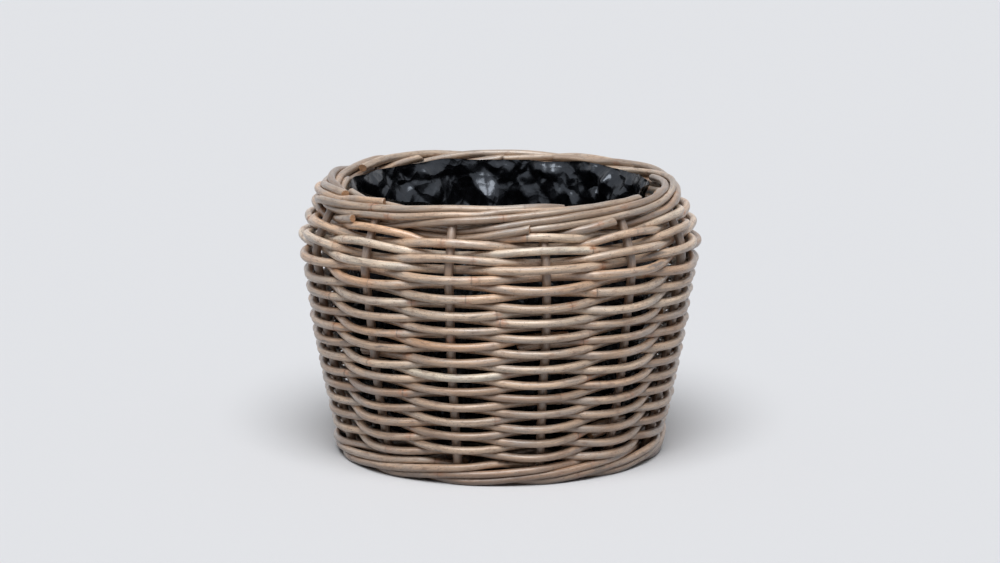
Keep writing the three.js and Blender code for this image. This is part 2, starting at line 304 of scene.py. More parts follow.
def wander(along, rng, kind):
    """A smooth random value along a cane, of about the wavelength and size of its kind."""
    wavelength, size = WANDERS[kind]
    value = np.zeros_like(along)
    for octave in range(3):
        share = OCTAVE_SHARE ** octave
        pace = 2 * math.pi / (wavelength * share) * rng.uniform(0.8, 1.25)
        value = value + share * np.sin(pace * along + rng.uniform(0, 2 * math.pi))
    return size * value / OCTAVES_HEIGHT


def cubic(share, start, end, leave, arrive):
    """The curve from start to end that leaves and arrives with the given slopes."""
    square = 3 * (end - start) - 2 * leave - arrive
    cube = 2 * (start - end) + leave + arrive
    return start + leave * share + square * share ** 2 + cube * share ** 3


def spline(places, knots, values):
    """A smooth line through evenly spaced knots."""
    values = np.array(values, float)
    slope = np.gradient(values)
    index = np.clip(np.searchsorted(knots, places, side="right") - 1, 0, len(knots) - 2)
    return cubic(places - knots[index], values[index], values[index + 1], slope[index], slope[index + 1])


def lengths_along(points):
    """How far along a line each of its points lies."""
    return np.concatenate([[0], np.cumsum(np.linalg.norm(np.diff(points, axis=0), axis=1))])


def points_along(places, along, points):
    """The points of a line at places along it."""
    return np.stack([np.interp(places, along, axis_values) for axis_values in points.T], axis=-1)


def relaxed(values, times):
    """Values along a line evened out between their two ends, which stay."""
    values = values.copy()
    for _ in range(times):
        values[1:-1] = 0.25 * values[:-2] + 0.5 * values[1:-1] + 0.25 * values[2:]
    return values


# The wall's section on the line of the uprights
def section_curve(points, per_span=200):
    """The centripetal Catmull-Rom curve through points, as samples of radius and height."""
    knots = np.array(points, float)
    knots = np.vstack([2 * knots[0] - knots[1], knots, 2 * knots[-1] - knots[-2]])
    share = np.linspace(0, 1, per_span, endpoint=False)[:, None]
    spans = []
    for before, start, end, after in zip(knots, knots[1:], knots[2:], knots[3:]):
        gaps = [np.linalg.norm(b - a) ** 0.5 for a, b in ((before, start), (start, end), (end, after))]
        leave = (start - before) / gaps[0] - (end - before) / (gaps[0] + gaps[1]) + (end - start) / gaps[1]
        arrive = (end - start) / gaps[1] - (after - start) / (gaps[1] + gaps[2]) + (after - end) / gaps[2]
        spans.append(cubic(share, start, end, leave * gaps[1], arrive * gaps[1]))
    return np.vstack([*spans, knots[-2:-1]])


def lower_run(share):
    """Radius and height of the wall between its foot and its belly."""
    radius = between(FOOT_RADIUS, BELLY_RADIUS, share) + WALL_BOW * math.sin(math.pi * share)
    return radius, BELLY_HEIGHT * share


SECTION = section_curve([
    *[lower_run(share) for share in LOWER_RUN_SHARES],
    (BELLY_RADIUS, BELLY_HEIGHT),
    ((BELLY_RADIUS + BORDER_RADIUS) / 2 + SHOULDER_BOW, (BELLY_HEIGHT + BORDER_HEIGHT + SHOULDER_BOW) / 2),
    (BORDER_RADIUS, BORDER_HEIGHT),
])
SECTION_ARC = lengths_along(SECTION)
BORDER_ARC = SECTION_ARC[-1]


def wall_at(arc):
    """Radius, height and the upward direction of the wall at arcs."""
    here, ahead, behind = (points_along(arc + step, SECTION_ARC, SECTION)
                           for step in (0, DIRECTION_REACH, -DIRECTION_REACH))
    return here[..., 0], here[..., 1], unit(ahead - behind)


def on_wall(arc, azimuth, out, rise):
    """Points of the basket at arcs up the wall, moved outwards and upwards from its line."""
    arc, azimuth = np.broadcast_arrays(np.asarray(arc, float), np.asarray(azimuth, float))
    radius, height, up = wall_at(arc)
    radius = radius + up[..., 1] * out + up[..., 0] * rise
    height = height - up[..., 0] * out + up[..., 1] * rise
    return outwards(azimuth) * radius[..., None] + height[..., None] * UP


def upright_azimuth(index):
    return FIRST_UPRIGHT_AZIMUTH + STAKE_STEP * index


def cane_diameter_at(arc):
    upper = smooth_step(arc, UPPER_CANES_FROM, BELLY_ARC)
    belly = np.exp(-((arc - BELLY_ARC) / BELLY_BAND) ** 4)
    return between(between(LOWER_CANE_DIAMETER, UPPER_CANE_DIAMETER, upper), BELLY_CANE_DIAMETER, belly)


def make_level_arcs():
    """The levels of the weave, each as far from the next as their canes are thick."""
    arcs = np.linspace(FIRST_LEVEL_ARC, LAST_LEVEL_ARC, LEVEL_COUNT)
    for _ in range(20):
        thickness = cane_diameter_at((arcs[1:] + arcs[:-1]) / 2)
        steps = np.concatenate([[0], np.cumsum(thickness)])
        arcs = FIRST_LEVEL_ARC + (LAST_LEVEL_ARC - FIRST_LEVEL_ARC) * steps / steps[-1]
    return arcs


LEVEL_ARCS = make_level_arcs()


def arc_at_level(level):
    """The arc of a level of the weave, which starts with most of a turn below its first level."""
    levels = np.arange(-1, LEVEL_COUNT)
    return np.interp(level, levels, [LEVEL_ARCS[0] - LOWER_CANE_DIAMETER, *LEVEL_ARCS])


# Centre lines
def evenly(points, *values):
    """A dense line resampled at an even step, with values that go along it."""
    along = lengths_along(points)
    places = np.linspace(0, along[-1], max(4, round(along[-1] / LINE_STEP) + 1))
    return points_along(places, along, points), *[np.interp(places, along, value) for value in values]


def make_cane(stem, index, slot, line, radius, **traits):
    return Cane(f"{stem}_{index + 1:02d}", slot, line, radius, SEEDS[stem] + index, **traits)


def draws_for(stem, index):
    return np.random.default_rng(SEEDS[stem] + index)


def uneven(diameter, stem, along, rng):
    """A diameter that differs from cane to cane and changes slowly along each."""
    return diameter * rng.uniform(*THICKNESS[stem]) * (1 + wander(along, rng, stem + "_thickness"))


def strand_joints(turns, cane_count):
    """Where the canes of one woven strand meet: behind an upright, evenly along the strand."""
    passed = 2 * (turns * UPRIGHT_COUNT // 2)
    return [4 * round(passed * cane / cane_count / 2) for cane in range(cane_count + 1)]


def upright_canes():
    canes = []
    arc = np.linspace(UPRIGHT_FOOT_ARC, BORDER_ARC - UPRIGHT_TOP_GAP, 120)
    for index in range(UPRIGHT_COUNT):
        rng = draws_for("upright", index)
        lean = rng.uniform(-UPRIGHT_LEAN, UPRIGHT_LEAN) * (1 - arc / BORDER_ARC)
        azimuth = upright_azimuth(index) + lean + wander(arc, rng, "upright_azimuth")
        line, = evenly(on_wall(arc, azimuth, wander(arc, rng, "upright_out"), 0))
        radius = np.full(len(line), UPRIGHT_DIAMETER * rng.uniform(*THICKNESS["upright"]) / 2)
        canes.append(make_cane("upright", index, "upright_cane", line, radius, gives=0.25))
    return canes


def weaver_canes():
    """One strand winds up the wall, outside one upright and inside the next. It is a row of canes
    whose ends lie beside each other behind an upright."""
    canes = []
    top_level = LEVEL_COUNT - 1
    joints = strand_joints(top_level, WALL_CANE_COUNT)
    for cane in range(WALL_CANE_COUNT):
        rng = draws_for("weaver", cane)
        first, last = joints[cane], joints[cane + 1]
        is_first, is_last = cane == 0, cane == WALL_CANE_COUNT - 1
        lead_in = 2 * WEAVE_LEAD_IN if is_first else JOINT_TAIL
        half = np.arange(first - lead_in, last + (LAST_TAIL if is_last else JOINT_TAIL), HALF_STEP)
        arc = arc_at_level(np.minimum(half / 2 / UPRIGHT_COUNT, top_level))
        along = half / 2 * math.radians(STAKE_STEP) * BELLY_RADIUS
        diameter = uneven(cane_diameter_at(arc), "weaver", along, rng)
        out = -np.cos(np.pi * half / 2) * (UPRIGHT_DIAMETER + diameter) / 2
        out = out + wander(along, rng, "weaver_out")
        rise = wander(along, rng, "weaver_long_rise") + wander(along, rng, "weaver_short_rise")
        beside = LOWER_CANE_DIAMETER / 2
        rise = rise - beside * smooth_step(half, first + 2, first) * (not is_first)
        rise = rise + beside * smooth_step(half, last - 2, last) * (not is_last)
        points = on_wall(arc, upright_azimuth(WEAVE_START_UPRIGHT + half / 2), out, rise)
        line, radius = evenly(points, diameter / 2)
        canes.append(make_cane("weaver", cane, "wall_cane", line, radius))
    return canes


def foot_canes():
    """A four-rod wale: a rod lies outside three uprights as it climbs, then goes over the others
    and passes inside the fourth."""
    canes = []
    offset = (UPRIGHT_DIAMETER + FOOT_ROD_DIAMETER) / 2
    pattern = len(FOOT_OUTS)
    halves = pattern * (UPRIGHT_COUNT // FOOT_ROD_COUNT)
    knots = np.arange(-4, pattern + 5)
    half = np.arange(-JOINT_TAIL, halves + JOINT_TAIL, HALF_STEP)
    place = (FOOT_INSIDE + half) % pattern
    along = half / 2 * math.radians(STAKE_STEP) * FOOT_RADIUS
    steady_out = offset * spline(place, knots, [FOOT_OUTS[knot % pattern] for knot in knots])
    steady_rise = spline(place, knots, [FOOT_RISES[knot % pattern] for knot in knots])
    for rod in range(FOOT_ROD_COUNT):
        rng = draws_for("foot_rod", rod)
        out = steady_out + wander(along, rng, "foot_rod_out")
        rise = steady_rise + wander(along, rng, "foot_rod_rise")
        diameter = uneven(FOOT_ROD_DIAMETER, "foot_rod", along, rng)
        points = on_wall(FOOT_ARC, upright_azimuth(FOOT_START_UPRIGHT + rod + half / 2), out, rise)
        line, radius = evenly(points, diameter / 2)
        canes.append(make_cane("foot_rod", rod, "foot_cane", line, radius, gives=0.7))
    return canes


def border_canes():
    """A rope of rods round the uprights' tops. A rod starts on the rope's top, goes down inside and
    under it, climbs its outer side, goes over the top and ends inside again. Some end early, on
    the outer side, and some go on under the rope, in a second layer."""
    canes = []
    rod_span = STAKE_STEP * BORDER_STRAND_COUNT
    for rod in range(BORDER_ROD_COUNT):
        rng = draws_for("border_rod", rod)
        start = FIRST_UPRIGHT_AZIMUTH - rod_span / 4 + STAKE_STEP * rod
        share = np.arange(BORDER_START_SHARE, BORDER_ODD_ENDS.get(rod, BORDER_END_SHARE), BORDER_SHARE_STEP)
        turn = math.pi * (1 + 2 * share)
        along = share * math.radians(rod_span) * BORDER_RADIUS
        pressed = BORDER_PRESSED_BY * bell(share - BORDER_PRESSED_AT, BORDER_PRESSED_BAND)
        outer_layer = BORDER_OUTER_LAYER * smooth_step(share, *BORDER_OUTER_SHARES)
        reach = BORDER_LAY - pressed + outer_layer + wander(along, rng, "border_rod_reach")
        azimuth = start + rod_span * share + wander(along, rng, "border_rod_azimuth")
        high = BORDER_HIGH_BY * np.maximum(np.cos(np.radians(azimuth - BORDER_HIGH_SIDE)), 0)
        points = on_wall(BORDER_ARC, azimuth, reach * np.cos(turn), reach * np.sin(turn))
        points = points + high[:, None] * UP
        diameter = uneven(BORDER_ROD_DIAMETER, "border_rod", along, rng)
        line, radius = evenly(points, diameter / 2)
        canes.append(make_cane("border_rod", rod, "border_cane", line, radius, gives=0.8, start_slant=0.9))
    return canes


def base_fan_point(upright, radius):
    return outwards(upright_azimuth(upright)) * radius + BASE_HEIGHT * UP


def base_routes():
    """The knots of each base stick. Two layers of sticks cross at the hub and fan out to the
    uprights, and a half stick goes to each upright that is left over."""
    per_layer = UPRIGHT_COUNT // 4
    far_radii = (BASE_REACH, BASE_MIDDLE_RADIUS, BASE_FAN_RADIUS)
    routes = []
    for layer in range(2):
        middle, opposite = per_layer * layer, per_layer * (layer + 2)
        side_azimuth = upright_azimuth((middle + opposite) / 2)
        forward, sideways = outwards(side_azimuth - 90), outwards(side_azimuth)
        lift = BASE_STICK_DIAMETER / 2 * (1 if layer else -1)
        for place in range(per_layer):
            lane = place - (per_layer - 1) / 2
            hub = (BASE_HEIGHT + lift) * UP + sideways * lane * BASE_HUB_SPACING
            far = [base_fan_point(opposite - lane, radius) for radius in far_radii]
            near = [base_fan_point(middle + lane, radius) for radius in reversed(far_radii)]
            routes.append([*far, hub - forward * BASE_HUB_HALF, hub, hub + forward * BASE_HUB_HALF, *near])
    for spare in range(4 * per_layer - 1, UPRIGHT_COUNT - 1):
        routes.append([base_fan_point(spare, radius) for radius in BASE_HALF_STICK_RADII])
    return routes


def base_canes():
    """The base's sticks, and canes that wind over and under them, one after the other."""
    canes = []
    for index, knots in enumerate(base_routes()):
        places = np.linspace(0, len(knots) - 1, 200)
        points = np.stack([spline(places, np.arange(len(knots)), [knot[axis] for knot in knots])
                           for axis in range(3)], axis=-1)
        line, = evenly(points)
        radius = np.full(len(line), BASE_STICK_DIAMETER / 2)
        canes.append(make_cane("base_stick", index, "base_cane", line, radius, gives=0.3))
    joints = strand_joints(BASE_RINGS, BASE_CANE_COUNT)
    for cane in range(BASE_CANE_COUNT):
        rng = draws_for("base_weaver", cane)
        half = np.arange(joints[cane], joints[cane + 1], HALF_STEP)
        radius = BASE_WEAVE_START + (BASE_WEAVE_END - BASE_WEAVE_START) * half / joints[-1]
        height = BASE_HEIGHT + np.cos(np.pi * half / 2) * (BASE_STICK_DIAMETER + BASE_CANE_DIAMETER) / 2
        line, = evenly(outwards(upright_azimuth(half / 2)) * radius[:, None] + height[:, None] * UP)
        along = np.arange(len(line)) * LINE_STEP
        thickness = BASE_CANE_DIAMETER / 2 * (1 + wander(along, rng, "base_weaver_thickness"))
        canes.append(make_cane("base_weaver", cane, "base_cane", line, thickness))
    return canes


# Settling the canes against each other
def near_pairs(spots, owner):
    """Pairs of points of different canes, or of far parts of one cane, that are near each other."""
    tree = kdtree.KDTree(len(spots))
    for index, spot in enumerate(spots):
        tree.insert(spot, index)
    tree.balance()
    first, second = [], []
    for index, spot in enumerate(spots):
        for _, other, _ in tree.find_range(spot, NEAR_REACH):
            if other > index and (owner[other] != owner[index] or other - index > SAME_CANE_APART):
                first.append(index)
                second.append(other)
    return np.array(first), np.array(second)


def settle(canes):
    """Moves the canes apart where they run into each other, each as a smooth stiff line."""
    line = np.vstack([cane.line for cane in canes])
    radius = np.concatenate([cane.radius for cane in canes])
    sizes = [len(cane.line) for cane in canes]
    owner = np.repeat(np.arange(len(canes)), sizes)
    gives = np.repeat([cane.gives for cane in canes], sizes)
    index = np.arange(len(line))
    left = np.where(np.roll(owner, 1) == owner, np.roll(index, 1), index)
    right = np.where(np.roll(owner, -1) == owner, np.roll(index, -1), index)
    left[0], right[-1] = 0, len(line) - 1
    shift = np.zeros_like(line)
    for _ in range(SETTLE_ROUNDS):
        first, second = near_pairs(line + shift, owner)
        yielding = gives[first] + gives[second]
        for _ in range(SETTLE_STEPS):
            apart = line[second] + shift[second] - line[first] - shift[first]
            distance = np.linalg.norm(apart, axis=1)
            overlap = np.maximum(radius[first] + radius[second] - distance, 0) / distance
            push = apart * overlap[:, None]
            move = np.zeros_like(line)
            weight = np.full(len(line), 1.0)
            for ends, sign in ((first, -1), (second, 1)):
                share = gives[ends] / yielding
                weight += CROWDING * np.bincount(ends, overlap > 0, len(line))
                for axis in range(3):
                    move[:, axis] += sign * np.bincount(ends, push[:, axis] * share, len(line))
            shift += PUSH_GAIN * move / weight[:, None]
            for _ in range(2):
                shift = 0.25 * shift[left] + 0.5 * shift + 0.25 * shift[right]
            low = line[:, 2] + shift[:, 2] - FLOOR_RADII * radius
            shift[:, 2] -= np.minimum(low, 0)
    for cane, points in zip(canes, np.split(line + shift, np.cumsum(sizes)[:-1])):
        cane.line = points


# Meshes
def ring_places(length, rng):
    """Where a cane's rings go: an even step, and closer ones over its nodes."""
    nodes = []
    place = rng.uniform(*FIRST_NODE)
    while place < length - LAST_NODE_GAP:
        nodes.append(place)
        place += rng.uniform(*NODE_STEP)
    even = np.linspace(0, length, max(6, round(length / RING_STEP)) + 1)
    close = [node + step for node in nodes for step in NODE_RINGS]
    places = np.sort(np.concatenate([even, close]))
    keep = np.concatenate([[True], np.diff(places) > LEAST_RING_STEP])
    keep[-1] = True
    return places[keep], np.array(nodes)


def node_shape(places, nodes, rng):
    """How far each ring lies past its nearest node, and that node's strength."""
    if not len(nodes):
        return np.full(len(places), 1.0), np.zeros(len(places))
    strengths = rng.uniform(0.25, 1.0, len(nodes))
    nearest = np.abs(places[:, None] - nodes[None, :]).argmin(axis=1)
    return places - nodes[nearest], strengths[nearest]


def make_tube(cane, rng):
    """Rings round a cane's line, with nodes, a slow change of section and slanted cut ends."""
    along = lengths_along(cane.line)
    places, nodes = ring_places(along[-1], rng)
    centre = relaxed(points_along(places, along, cane.line), 3)
    forward = unit(np.gradient(centre, places, axis=0))
    is_steep = cane.slot == "upright_cane"
    hint = unit(centre * [1, 1, 0]) if is_steep else np.broadcast_to(UP, centre.shape)
    side = unit(np.cross(forward, hint))
    up = np.cross(side, forward)

    past, strength = node_shape(places, nodes, rng)
    below, above = (size * bell(past, length) for size, length in (SHEATH_BELOW, SHEATH_ABOVE))
    sheath = np.where(past < 0, below, above)
    ridge_height, ridge_length = NODE_RIDGE
    ridge = ridge_height * bell(past + NODE_RIDGE_BELOW, ridge_length)
    oval = OVAL * np.sin(2 * RING_TURN + wander(places, rng, "oval_turn")[:, None])
    lumps = LUMPS * np.sin(3 * RING_TURN + wander(places, rng, "lump_turn")[:, None])
    swelling = wander(places, rng, "swelling")
    radius = np.interp(places, along, cane.radius) * (1 + swelling + sheath * strength)
    uneven_ridge = (ridge * strength)[:, None] * (1 + 0.5 * np.sin(RING_TURN + 1))
    reach = radius[:, None] * (1 + oval + lumps) + uneven_ridge
    rings = centre[:, None] + reach[..., None] * (
        np.cos(RING_TURN)[:, None] * side[:, None] + np.sin(RING_TURN)[:, None] * up[:, None])

    for end, step, slant in ((0, 1, cane.start_slant), (-1, -1, cane.end_slant)):
        heading = rng.uniform(0, 2 * math.pi)
        ragged = rng.normal(0, CUT_RAGGED, TUBE_SIDES)
        lean = slant * radius[end] * np.cos(RING_TURN - heading)
        rings[end] += ragged[:, None] * forward[end]
        for away, fade in enumerate(CUT_SLANT_FADES):
            rings[end + away * step] += (fade * lean)[:, None] * forward[end]
    return Tube(rings, places, forward, radius, nodes, past, strength)


def ring_faces(rows, columns):
    """The numbers of points that lie in rows of rings, and the faces between them."""
    index = np.arange(rows * columns).reshape(rows, columns)
    following = np.roll(index, -1, axis=1)
    faces = np.stack([index[:-1], following[:-1], following[1:], index[1:]], axis=-1)
    return index, faces.reshape(-1, 4).tolist()


def closed_tube(tube):
    """The tube's points, the faces of its wall and bevels, and the faces of its two cut ends."""
    count = len(tube.rings)
    rows = [tube.rings.reshape(-1, 3)]
    for end, way in ((0, -1), (-1, 1)):
        middle = tube.rings[end].mean(axis=0)
        step_out = way * CUT_BEVEL * tube.forward[end]
        rows.append(middle + (tube.rings[end] - middle) * CUT_INSET + step_out)
        rows.append((middle + step_out)[None])
    index, faces = ring_faces(count, TUBE_SIDES)
    cut_faces = []
    first_of_end = count * TUBE_SIDES
    for end, is_flipped in ((0, True), (count - 1, False)):
        outer = index[end]
        inner = np.arange(first_of_end, first_of_end + TUBE_SIDES)
        hub = first_of_end + TUBE_SIDES
        for corner in range(TUBE_SIDES):
            after = (corner + 1) % TUBE_SIDES
            bevel_face = [outer[corner], outer[after], inner[after], inner[corner]]
            cap_face = [inner[corner], inner[after], hub]
            for face, store in ((bevel_face, faces), (cap_face, cut_faces)):
                store.append([int(v) for v in (reversed(face) if is_flipped else face)])
        first_of_end += TUBE_SIDES + 1
    return np.vstack(rows), faces, cut_faces


def cane_attributes(tube, rng):
    """What a cane's material reads: lay, a place on the cane as if it were straight, and one value
    for each ring of its tone, its warmth and how near it is to a node or a node's scar."""
    drift = rng.uniform(-LAY_DRIFT, LAY_DRIFT)
    twist = RING_TURN + wander(tube.places, rng, "lay_turn")[:, None]
    lay = np.stack([
        tube.radius[:, None] * np.cos(twist),
        tube.radius[:, None] * np.sin(twist),
        np.broadcast_to(tube.places[:, None] + drift, twist.shape),
    ], axis=-1).reshape(-1, 3)
    stems = len(tube.nodes) + 1
    tones = rng.uniform(*CANE_TONE) + rng.normal(0, TONE_SPREAD, stems)
    warmths = rng.normal(*CANE_WARMTH) + rng.normal(0, WARMTH_SPREAD, stems)
    stem = np.searchsorted(tube.nodes, tube.places)
    near_stain, near_scar = (bell(tube.past_node - past, length)
                             for past, length in (NODE_STAIN, NODE_SCAR))
    return lay, {
        "tone": np.clip(tones, 0, PALEST_TONE)[stem],
        "warmth": np.clip(warmths, 0, 1)[stem],
        "node": tube.node_strength * near_stain,
        "scar": tube.node_strength * near_scar,
    }


def cane_mesh(cane):
    rng = np.random.default_rng(SURFACE_SEEDS + cane.seed)
    tube = make_tube(cane, rng)
    verts, faces, cut_faces = closed_tube(tube)
    mesh = bpy.data.meshes.new("cane_" + cane.node)
    mesh.from_pydata(verts.tolist(), [], faces + cut_faces)
    is_cut = np.arange(len(faces) + len(cut_faces)) >= len(faces)
    mesh.polygons.foreach_set("use_smooth", ~is_cut)
    mesh.polygons.foreach_set("material_index", is_cut.astype(np.int32))
    lay, per_ring = cane_attributes(tube, rng)
    add_attribute(mesh, "lay", "FLOAT_VECTOR", with_ends(lay))
    for name, values in per_ring.items():
        add_attribute(mesh, name, "FLOAT", with_ends(np.repeat(values, TUBE_SIDES)[:, None]))
    mesh.validate()
    return mesh


def with_ends(values):
    """Values of a tube's points, with those of its end rings repeated for its cut ends."""
    first, last = values[:TUBE_SIDES], values[-TUBE_SIDES:]
    return np.vstack([values, first, first[:1], last, last[:1]])


def add_attribute(mesh, name, kind, values):
    attribute = mesh.attributes.new(name, kind, "POINT")
    field = "vector" if kind == "FLOAT_VECTOR" else "value"
    attribute.data.foreach_set(field, np.ascontiguousarray(values, np.float32).ravel())


def add_piece(name, mesh, materials):
    piece = bpy.data.objects.new(name, mesh)
    bpy.context.scene.collection.objects.link(piece)
    for material in materials:
        mesh.materials.append(material)
    return piece


# Materials
def linear(red, green, blue):
    """A colour written as a screen shows it, from 0 to 255, as the scene's linear values."""
    parts = [part / 255 for part in (red, green, blue)]
    return tuple(p / 12.92 if p <= 0.04045 else ((p + 0.055) / 1.055) ** 2.4 for p in parts)


class Shader:
    """A material's node tree, written as a chain of calls."""

    def __init__(self, name):
        self.material = bpy.data.materials.new(name)
        self.material.use_nodes = True
        self.tree = self.material.node_tree
        self.surface = self.tree.nodes["Principled BSDF"]

    def node(self, kind, inputs=None, **settings):
        made = self.tree.nodes.new("ShaderNode" + kind)
        for key, value in settings.items():
            setattr(made, key, value)
        for key, value in (inputs or {}).items():
            self.put(made.inputs[key], value)
        return made

    def put(self, socket, value):
        if isinstance(value, bpy.types.NodeSocket):
            self.tree.links.new(value, socket)
        elif isinstance(value, tuple) and len(value) == 3 and socket.type == "RGBA":
            socket.default_value = (*value, 1)
        else:
            socket.default_value = value

    def attribute(self, name, output="Fac"):
        return self.node("Attribute", attribute_name=name).outputs[output]

    def place(self):
        """The place in metres, which is the same as in the frame."""
        return self.node("TexCoord").outputs["Object"]

    def height_of(self, place):
        return self.node("SeparateXYZ", {0: place}).outputs[2]

    def math(self, operation, first, second=0.0, third=0.0):
        return self.node("Math", {0: first, 1: second, 2: third}, operation=operation).outputs[0]

    def vectors(self, operation, first, second):
        return self.node("VectorMath", {0: first, 1: second}, operation=operation).outputs[0]

    def noise(self, vector, scale, detail=3.0, rough=0.55):
        inputs = {"Vector": vector, "Scale": scale, "Detail": detail, "Roughness": rough}
        return self.node("TexNoise", inputs).outputs[0]

    def ramp(self, value, stops):
        """Values or colours at places along a ramp. Stops are pairs of place and value."""
        made = self.node("ValToRGB", {0: value})
        elements = made.color_ramp.elements
        while len(elements) < len(stops):
            elements.new(1.0)
        for element, (place, colour) in zip(elements, stops):
            element.position = place
            element.color = (*colour, 1) if isinstance(colour, tuple) else (colour, colour, colour, 1)
        return made.outputs[0]

    def mix(self, factor, first, second, blend_type="MIX"):
        made = self.node("Mix", data_type="RGBA", blend_type=blend_type)
        self.put(made.inputs[0], factor)
        self.put(made.inputs[6], first)
        self.put(made.inputs[7], second)
        return made.outputs[2]

    def bump(self, height, distance, strength=1.0, normal=None):
        made = self.node("Bump", {"Height": height, "Distance": distance, "Strength": strength})
        if normal is not None:
            self.put(made.inputs["Normal"], normal)
        return made.outputs[0]

    def set(self, **inputs):
        for key, value in inputs.items():
            self.put(self.surface.inputs[key.replace("_", " ")], value)
        return self.material


# Each noise of a cane: how much it is drawn out along the cane, as a share, then scale, detail and
# roughness
CANE_NOISES = {
    "patches": (0.22, 95, 4, 0.60),
    "blotches": (0.35, 260, 4, 0.65),
    "weather": (0.30, 70, 5, 0.62),
    "grain": (0.025, 1900, 4, 0.70),
    "bands": (0.06, 430, 4, 0.62),
    "fibres": (0.012, 4200, 2, 0.60),
    "specks": (0.55, 900, 2, 0.50),
}
RUST = linear(184, 118, 72)
# Cane colour is multiplied by this colour at the floor, fading out higher up: darker towards the bottom
DARKER_NEAR_FLOOR = linear(150, 134, 120)
DARKER_NEAR_FLOOR_STEEPNESS, DARKER_NEAR_FLOOR_STOP = 20, 0.32


def cane_material(name, tones, grey, fresh, stain, grime):
    """Weathered cane: tones from stem to stem, grey patches, long grain, specks and node stains.
    It is darker towards the bottom, near the floor."""
    shader = Shader(name)
    lay = shader.attribute("lay", "Vector")
    tone, warmth, node, scar = (shader.attribute(value) for value in ("tone", "warmth", "node", "scar"))
    patches, blotches, weather, grain, bands, fibres, specks = (
        shader.noise(shader.vectors("MULTIPLY", lay, (1.0, 1.0, along)), scale, detail, rough)
        for along, scale, detail, rough in CANE_NOISES.values())

    shade = shader.math("MULTIPLY_ADD", patches, 0.5, shader.math("SUBTRACT", tone, 0.25))
    colour = shader.ramp(shade, tones)
    for where, stops, cover in (
        (warmth, [(0.45, 0.0), (0.85, 0.8)], fresh),
        (weather, [(0.48, 0.0), (0.62, 0.6)], grey),
        (blotches, [(0.52, 0.0), (0.68, 0.7)], stain),
        (weather, [(0.30, 0.8), (0.37, 0.0)], grime),
    ):
        colour = shader.mix(shader.ramp(where, stops), colour, cover)
    streaks = shader.ramp(grain, [(0.3, 0.66), (0.52, 1.0), (0.72, 1.12)])
    worn = shader.ramp(bands, [(0.34, 0.62), (0.50, 0.96), (0.66, 1.22)])
    cracks = shader.ramp(fibres, [(0.26, 0.45), (0.36, 1.0)])
    dots = shader.ramp(specks, [(0.31, 0.22), (0.355, 1.0)])
    for strength, shades in ((0.8, streaks), (0.85, worn), (0.5, cracks), (0.85, dots)):
        colour = shader.mix(strength, colour, shades, "MULTIPLY")
    ring_stain = shader.math("MULTIPLY", node, shader.ramp(blotches, [(0.40, 0.0), (0.60, 0.9)]))
    colour = shader.mix(ring_stain, colour, RUST)
    colour = shader.mix(shader.math("MULTIPLY", scar, 0.8), colour, tuple(0.2 * part for part in stain))
    # Darker towards the bottom: the colour is multiplied by a ramp that starts at the floor
    near_floor = shader.math("MULTIPLY", shader.height_of(shader.place()), DARKER_NEAR_FLOOR_STEEPNESS)
    darker_near_floor = shader.ramp(near_floor, [(0.0, DARKER_NEAR_FLOOR), (DARKER_NEAR_FLOOR_STOP, 1.0)])
    colour = shader.mix(1.0, colour, darker_near_floor, "MULTIPLY")

    roughness = shader.ramp(blotches, [(0.3, 0.33), (0.7, 0.50)])
    normal = shader.bump(grain, 0.00016)
    normal = shader.bump(cracks, 0.00010, normal=normal)
    normal = shader.bump(blotches, 0.0003, 0.6, normal=normal)
    return shader.set(Base_Color=colour, Roughness=roughness, Normal=normal, Specular_IOR_Level=1.0,
                      Coat_Weight=0.6, Coat_Roughness=0.36)


def cut_material():
    """The pith at a cut end: pale orange, with darker pores."""
    shader = Shader("cut_end")
    lay = shader.attribute("lay", "Vector")
    pores = shader.noise(shader.vectors("MULTIPLY", lay, (1.0, 1.0, 0.3)), 2600, 3, 0.7)
    colour = shader.ramp(pores, [(0.3, linear(112, 78, 56)), (0.5, linear(192, 148, 112)),
                                 (0.75, linear(222, 186, 150))])
    return shader.set(Base_Color=colour, Roughness=0.85, Normal=shader.bump(pores, 0.0004))


def film_material():
    """Black plastic film: sharply creased and glossy. It reflects less lower down, as painted shade, so
    that it stays dark behind the weave."""
    shader = Shader("liner_film")
    place = shader.place()
    soft = shader.noise(place, 60, 4, 0.55)
    fine = shader.noise(place, 420, 3, 0.6)
    roughness = shader.ramp(soft, [(0.3, 0.20), (0.7, 0.32)])
    colour = shader.ramp(soft, [(0.3, linear(6, 6, 8)), (0.7, linear(14, 15, 18))])
    bend = shader.node("TexNoise", {"Vector": place, "Scale": 30.0}).outputs[1]
    bent = shader.vectors("ADD", place, shader.vectors("MULTIPLY", bend, (0.02, 0.02, 0.02)))
    normal = None
    for scale, depth in ((26.0, 0.0070), (70.0, 0.0024)):
        cells = shader.node("TexVoronoi", {"Vector": bent, "Scale": scale}).outputs["Distance"]
        normal = shader.bump(cells, depth, 0.8, normal=normal)
    normal = shader.bump(fine, 0.0002, 0.5, normal=normal)
    # Painted shade: a lower specular level below FILM_DULL_BELOW keeps the film dark where it is seen
    # through the weave
    shine = shader.node("MapRange", {
        "Value": shader.height_of(place), "From Min": FILM_DULL_BELOW, "From Max": FILM_GLOSSY_ABOVE,
        "To Min": 0.15, "To Max": 0.75}).outputs[0]
    return shader.set(Base_Color=colour, Roughness=roughness, Normal=normal, Specular_IOR_Level=shine,
                      Specular_Tint=(0.80, 0.88, 1.0, 1.0))


